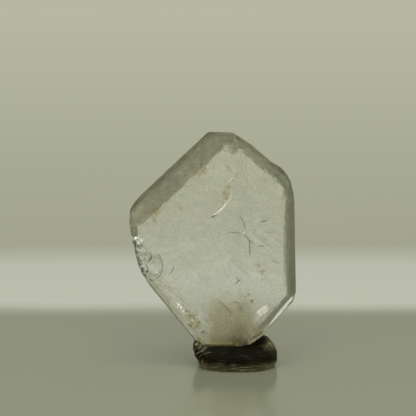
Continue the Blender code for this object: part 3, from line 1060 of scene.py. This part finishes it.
umberCracks = (
    (((-2.4, 8.34), (-1.8, 7.72), (-1.2, 7.05), (-0.75, 6.55)), 0.0, 0.16, 22),
    (((-0.7, 6.5), (-0.15, 5.9), (0.45, 5.05), (1.3, 3.75)), 0.0, 0.05, 20),
    (((-5.1, 5.45), (-4.8, 5.62), (-4.5, 5.38)), 0.0, 0.1, 60),
    (((-4.55, 3.95), (-4.5, 4.25), (-4.2, 4.38), (-3.98, 4.12)), 0.0, 0.1, 50),
    (((0.05, 7.45), (0.28, 7.56), (0.46, 7.3), (0.25, 7.08), (0.06, 7.28)), 0.0, 0.09, 50),
    (((-1.0, 7.7), (-0.6, 8.05), (-0.05, 7.98), (0.05, 7.62)), 0.0, 0.07, 50),
    (((-5.9, 6.2), (-5.6, 6.35), (-5.3, 6.1)), 0.0, 0.08, 50),
)

# painted glints, as white patches on the stone, and lines of dust: path of (x, z), greatest width, raggedness
paintedGlints = (
    (((-12.42, 15.95), (-12.1, 15.8), (-11.7, 15.62), (-11.5, 15.5)), 0.42, 0.16),
    (((-12.1, 15.25), (-11.85, 15.12), (-11.62, 15.3)), 0.26, 0.12),
    (((-11.75, 14.7), (-11.6, 14.35), (-11.72, 14.1)), 0.1, 0.05),
    (((3.86, 5.2), (3.4, 4.66), (3.05, 4.2)), 0.07, 0.05),
    (((-3.6, 18.1), (-4.6, 17.2), (-5.6, 16.1), (-6.6, 15.0)), 0.02, 0.015),
    (((2.2, 6.62), (2.6, 6.98), (3.05, 7.36), (3.5, 7.66)), 0.4, 0.08),
    (((2.42, 6.32), (2.82, 6.66), (3.28, 7.06), (3.76, 7.46)), 0.4, 0.08),
    (((-7.4, 8.02), (-7.05, 7.6), (-6.72, 7.2)), 0.32, 0.14),
    (((-6.85, 7.05), (-6.62, 6.8), (-6.42, 6.55)), 0.13, 0.1),
    (((-5.75, 5.95), (-5.45, 5.7), (-5.2, 5.62)), 0.12, 0.1),
)
ochreLines = (
    (((-9.27, 11.0), (-8.3, 10.12), (-7.2, 9.08), (-6.2, 8.15)), 0.07, 0.07),
    (((-9.1, 11.05), (-8.95, 10.85), (-8.7, 10.7)), 0.1, 0.1),
)

# splinters in the broken corner and along the edges: x, z, depth, half length, half width, turn, tip
brightShards = (
    (-12.2, 15.88, -0.06, 0.33, 0.17, 15, 20), (-11.86, 15.6, -0.05, 0.2, 0.08, 65, 18),
    (-12.02, 15.74, -0.08, 0.18, 0.09, -25, 20), (-12.48, 16.62, -0.03, 0.3, 0.025, 108, 18),
    (-12.1, 15.42, -0.05, 0.16, 0.06, -35, 20), (-12.02, 15.16, -0.05, 0.17, 0.08, 20, 20),
    (-12.42, 15.62, -0.05, 0.13, 0.06, 100, 17), (-11.7, 14.62, -0.03, 0.11, 0.04, 80, 20),
    (-11.0, 13.55, -0.03, 0.12, 0.035, 120, 18), (-10.75, 12.9, -0.03, 0.1, 0.03, 70, 20),
    (-7.22, 7.7, -0.05, 0.2, 0.08, -48, 20), (-6.93, 7.34, -0.05, 0.17, 0.07, -48, 18),
    (-6.56, 6.92, -0.04, 0.12, 0.05, -40, 20), (-7.36, 7.42, -0.03, 0.1, 0.04, -48, 18),
    (-6.2, 6.62, -0.03, 0.09, 0.04, 10, 18), (-5.55, 5.82, -0.03, 0.11, 0.04, 30, 20),
    (-5.1, 6.1, -0.03, 0.08, 0.035, 80, 18), (-5.28, 5.22, -0.03, 0.1, 0.035, 20, 20),
    (-4.62, 5.32, -0.03, 0.07, 0.03, 0, 18), (1.98, 8.1, -0.02, 0.12, 0.05, 60, 18),
    (-8.95, 10.85, -0.02, 0.08, 0.03, 0, 18),
)

# and dark ones, painted shadows of splinters, which lie flat and have no tip
shardShadows = (
    (-12.36, 14.9, -0.02, 0.2, 0.06, 100), (-12.2, 14.1, -0.02, 0.24, 0.05, 95),
    (-12.04, 13.3, -0.02, 0.2, 0.06, 100), (-11.84, 12.55, -0.02, 0.24, 0.07, 105),
    (-11.52, 11.85, -0.02, 0.2, 0.07, 115), (-11.14, 11.15, -0.02, 0.18, 0.06, 125),
    (-12.85, 17.3, -0.02, 0.2, 0.03, 110), (-12.66, 16.85, -0.02, 0.18, 0.03, 120),
    (-12.45, 16.4, -0.02, 0.16, 0.03, 60), (-12.02, 14.85, 0.3, 0.26, 0.16, 75),
    (-11.8, 14.55, 0.3, 0.2, 0.1, 100), (-12.3, 14.95, 0.4, 0.22, 0.12, 60),
    (-6.3, 6.92, 0.08, 0.12, 0.05, 20), (-5.92, 6.28, 0.08, 0.14, 0.05, 70),
    (-5.38, 5.98, 0.08, 0.12, 0.05, 10), (-4.98, 4.95, 0.08, 0.12, 0.05, 40),
    (-5.62, 5.42, 0.08, 0.12, 0.04, 120), (-12.35, 15.2, 0.6, 0.26, 0.12, 80),
    (-11.75, 15.05, 0.4, 0.22, 0.1, 20), (-12.38, 14.6, 0.5, 0.3, 0.09, 80),
    (-12.25, 13.95, 0.5, 0.26, 0.08, 100), (-12.1, 13.1, 0.5, 0.32, 0.09, 95),
    (-11.88, 12.45, 0.45, 0.28, 0.1, 110), (-11.55, 11.75, 0.5, 0.3, 0.12, 115),
    (-11.3, 11.3, 0.6, 0.28, 0.14, 125), (-11.0, 10.95, 0.6, 0.22, 0.09, 125),
    (-12.85, 16.35, 0.6, 0.24, 0.07, 110), (-11.6, 14.2, 0.3, 0.16, 0.05, 60),
    (-11.3, 13.3, 0.25, 0.14, 0.05, 120), (6.62, 8.4, 0.8, 0.42, 0.06, 52), (1.22, 9.0, 0.06, 0.17, 0.06, 15),
    (0.85, 8.75, 0.06, 0.1, 0.05, 60), (3.62, 7.38, 0.06, 0.11, 0.06, 40), (2.6, 3.92, 0.02, 0.16, 0.07, 40),
    (2.2, 3.6, 0.02, 0.12, 0.06, 10),
)


def makeMarks(name, look, addMark, rows):
    bm = bmesh.new()
    for mark in rows:
        addMark(bm, *mark)
    bmesh.ops.recalc_face_normals(bm, faces=bm.faces)
    finishPiece(newObject(bm, name, looks[look]))


makeMarks("crackShadows", "shadow", addVeil, crackShadows)
makeMarks("brightCracks", "silver", addVeil, brightCracks)
makeMarks("umberCracks", "umber", addVeil, umberCracks)
makeMarks("paintedGlints", "paintedGlint", addGlintAndDustPatch, paintedGlints)
makeMarks("ochreLines", "dust", addGlintAndDustPatch, ochreLines)
makeMarks("brightShards", "silver", addShard, [(*shard, i) for i, shard in enumerate(brightShards)])
makeMarks("shardShadows", "shadow", addShard, [(*shard, 0, i) for i, shard in enumerate(shardShadows)])

wad = {
    "left": 5.6, "right": 4.8, "front": 4.35, "back": 4.2,
    "saddle": 2.75,
    "leftLobe": (3.6, 5.2, 0.85),  # from x to x, and the rise
    "rightLobe": (1.2, 3.5, 1.55),
    "rightLobeFront": (1.4, 4.3, 1.50),  # the lobe climbs later in front of the stone
    "foot": 0.88, "leftFoot": 0.83,
    "bulge": 0.40, "leftBulge": 0.74, "rightBulge": 0.27,
    "roundness": 2.7, "rightRoundness": 2.2, "planRoundness": 2.3,
    "lump": 0.12,
    "segments": 420, "sideRings": 40, "topRings": 60,
    "ridgeDepth": 0.11,
    "ridgeGap": 0.42,
    "slotGap": 0.03,  # between the stone and its slot
    "patchScale": 520, "strokeScale": 5200, "grainScale": 5200,  # per metre
    "dark": ((0.35, (0.0022, 0.0022, 0.0009)), (0.70, (0.0058, 0.0056, 0.0024))),
    # pale putty, carrying the painted reflection of the floor and painted highlights as well
    "paleAndLit": ((0.35, (0.18, 0.166, 0.083)), (0.70, (0.27, 0.248, 0.137))),
    "leftPale": 0.70, "rightPale": 0.40, "middlePale": 0.42,  # how pale the ridges are
    # painted reflection of the floor along the foot, and how far up it reaches
    "footReflection": 0.76, "footReach": 1.7,
}


def makePuttyMaterial():
    material, shader, coords = newMaterial("darkPutty")
    tree = material.node_tree
    paleAndLit = addNode(tree, "SeparateColor", {"Color": layerNode(tree, "paleAndLitPaint")}).outputs["Red"]
    patches = noiseNode(coords, wad["patchScale"], 5, 0.6)
    strokes = noiseNode(mappingNode(coords, 6, (0.14, 0.3, 1)), wad["strokeScale"], 3, 0.6, 0.3)
    grains = noiseNode(coords, wad["grainScale"], 3, 0.6)
    pale = mathNode("MULTIPLY", paleAndLit, mathNode("MULTIPLY_ADD", strokes, 1.6, 0.2), clamp=True)
    fillInputs(shader, {
        "Base Color": mixNode(pale, rampNode(patches, wad["dark"]), rampNode(patches, wad["paleAndLit"])),
        "Roughness": rampNode(grains, ((0.3, (0.45,) * 3), (0.7, (0.68,) * 3))),
        "Normal": bumpNode(grains, 0.3, 0.00003, bumpNode(strokes, 0.5, 0.00006)),
        "Specular IOR Level": 0.03,
    })
    return material


looks["putty"] = makePuttyMaterial()


def wadTop(x, y):
    start, end, rise = wad["leftLobe"] if x < 0 else wad["rightLobe"]
    top = rise * ease(start, end, abs(x))
    if x > 0:
        start, end, rise = wad["rightLobeFront"]
        front = rise * ease(start, end, x)
        top = front + (top - front) * ease(-1.3, -0.3, y)
    return wad["saddle"] + top


def wadPoint(step, turn):
    # step 0 to 1 climbs the side, 1 to 2 closes the top
    left = max(0.0, -math.cos(turn)) ** 2
    right = max(0.0, math.cos(turn)) ** 2
    foot = wad["foot"] + (wad["leftFoot"] - wad["foot"]) * left
    bulge = wad["bulge"] + (wad["leftBulge"] - wad["bulge"]) * left
    bulge += (wad["rightBulge"] - wad["bulge"]) * right
    power = 2 / (wad["roundness"] + (wad["rightRoundness"] - wad["roundness"]) * right)
    if step < 1:
        size, height = 1 - (1 - foot) * (1 - step) ** 2, bulge * step
    else:
        angle = math.pi / 2 * (step - 1)
        size = max(math.cos(angle), 0.0) ** power
        height = bulge + (1 - bulge) * math.sin(angle) ** power
    plan = 2 / wad["planRoundness"]
    across = math.copysign(abs(math.cos(turn)) ** plan, math.cos(turn))
    deep = math.copysign(abs(math.sin(turn)) ** plan, math.sin(turn))
    x = size * across * (wad["right"] if across > 0 else wad["left"])
    y = size * deep * (wad["back"] if deep > 0 else wad["front"])
    point = Vector((x, y, height * wadTop(x, y)))
    dent = noise.noise(point * 0.55) + 0.5 * noise.noise(point * 1.3)
    return point + Vector((x, y, 0)).normalized() * dent * wad["lump"] * min(1.0, 0.4 + point.z)


def wadRidges(point):
    # finger-drawn ridges: level along the middle, bending round the left end, upright at the right
    warp = 0.22 * noise.noise(point * 0.8) + 0.07 * noise.noise(point * 2.6)
    toLeft = ease(2.9, 4.1, -point.x)
    toRight = ease(2.6, 3.8, point.x)
    level = 0.88 * math.hypot(max(0.0, -3.2 - point.x), (point.z - 0.9) * 1.15) + 0.06 * max(-3.2, point.x)
    level += warp * (1 - 0.5 * toLeft)
    upright = math.atan2(point.y, point.x) * 3.0 + warp * 0.8
    phase = level + (upright - level) * toRight
    phase += 0.16 * (1 - toLeft) * noise.noise(point * 1.7 + Vector((0, 4, 0)))
    crest = 1 - abs(math.sin(math.pi * phase / wad["ridgeGap"])) ** 0.8
    patch = 0.45 + 0.55 * ease(-0.25, 0.35, noise.noise(point * 0.7 + Vector((3, 1, 8))))
    return crest * patch


def paleAndLitAt(point, normal, crest):
    # how pale the putty is: on the ridges and ends, with a painted reflection of the floor along the foot and
    # a pale smear and painted highlights on the crowns
    x, z = point.x, point.z
    patchy = 0.55 + 0.9 * noise.noise(point * 1.2 + Vector((5, 2, 0)))
    ends = wad["leftPale"] * ease(2.9, 4.1, -x) + wad["rightPale"] * ease(2.2, 3.8, x)
    ridges = ends * max(0.0, patchy) * ease(0.30, 0.85, crest)
    ridges += wad["middlePale"] * max(0.0, patchy - 0.2) * ease(0.12, 0.60, crest)
    # painted reflection of the floor along the foot
    reach = wad["footReach"] - 0.5 * ease(2.0, 4.0, x)
    floorReflection = wad["footReflection"] * (1 - ease(0.25, reach, z + 0.3 * noise.noise(point * 1.1)))
    # a pale smear on the right crown, a painted highlight where the right lobe faces up and to the right, and
    # painted light along the top of the left lobe
    crownPaleAndLit = 0.15 * ease(2.8, 4.4, x + 0.4 * noise.noise(point * 1.6)) * ease(2.2, 3.7, z)
    crownPaleAndLit += 0.20 * ease(0.75, 1.0, 0.6 * normal.x + 0.8 * normal.z) * ease(2.2, 3.0, x)
    crownPaleAndLit += 0.40 * ease(0.60, 0.95, z / wadTop(x, point.y)) * ease(3.4, 4.6, -x)
    edge = 0.14 * ease(3.0, 4.4, -x) + 0.30 * ease(2.2, 4.4, x)
    return min(1.0, max(0.0, ridges + floorReflection * (0.9 + 0.1 * crest) + crownPaleAndLit + edge))


def makePutty():
    bm = bmesh.new()
    steps = [i / wad["sideRings"] for i in range(wad["sideRings"])]
    steps += [1 + i / wad["topRings"] for i in range(wad["topRings"])]
    turns = [2 * math.pi * i / wad["segments"] for i in range(wad["segments"])]
    rings = []
    for step in steps:
        ring = [bm.verts.new(wadPoint(step, turn)) for turn in turns]
        rings.append([bm.edges.new((ring[i - 1], ring[i])) for i in range(len(ring))])
    for lower, upper in zip(rings, rings[1:]):
        bmesh.ops.bridge_loops(bm, edges=lower + upper)
    bmesh.ops.contextual_create(bm, geom=rings[0])
    bmesh.ops.contextual_create(bm, geom=rings[-1])
    bmesh.ops.recalc_face_normals(bm, faces=bm.faces)
    bm.normal_update()
    moves = {}
    for vert in bm.verts:
        if vert.co.z > 1e-4:
            fade = ease(0.0, 0.35, vert.co.z)
            grain = 0.012 * (noise.noise(vert.co * 7) - 0.5)
            moves[vert] = vert.normal * fade * (wad["ridgeDepth"] * (wadRidges(vert.co) - 1) + grain - 0.01)
    paint = bm.loops.layers.color.new("paleAndLitPaint")
    for face in bm.faces:
        face.smooth = True
        for loop in face.loops:
            paleAndLit = paleAndLitAt(loop.vert.co, loop.vert.normal, wadRidges(loop.vert.co))
            loop[paint] = (paleAndLit, paleAndLit, paleAndLit, 1)
    for vert, move in moves.items():
        vert.co += move
    block = newObject(bm, "puttyBlank", looks["putty"])

    root = toMillimetres(plainStone, 0.0005)
    root.normal_update()
    for vert in root.verts:
        vert.co += vert.normal * wad["slotGap"]
    mesh = carve(block, [newObject(root, "puttySlot", looks["putty"])])
    mesh.name = "puttyWad"
    piece = bpy.data.objects.new("puttyWad", mesh)
    scene.collection.objects.link(piece)
    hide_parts("mounting_putty")
    finishPiece(piece)


makePutty()
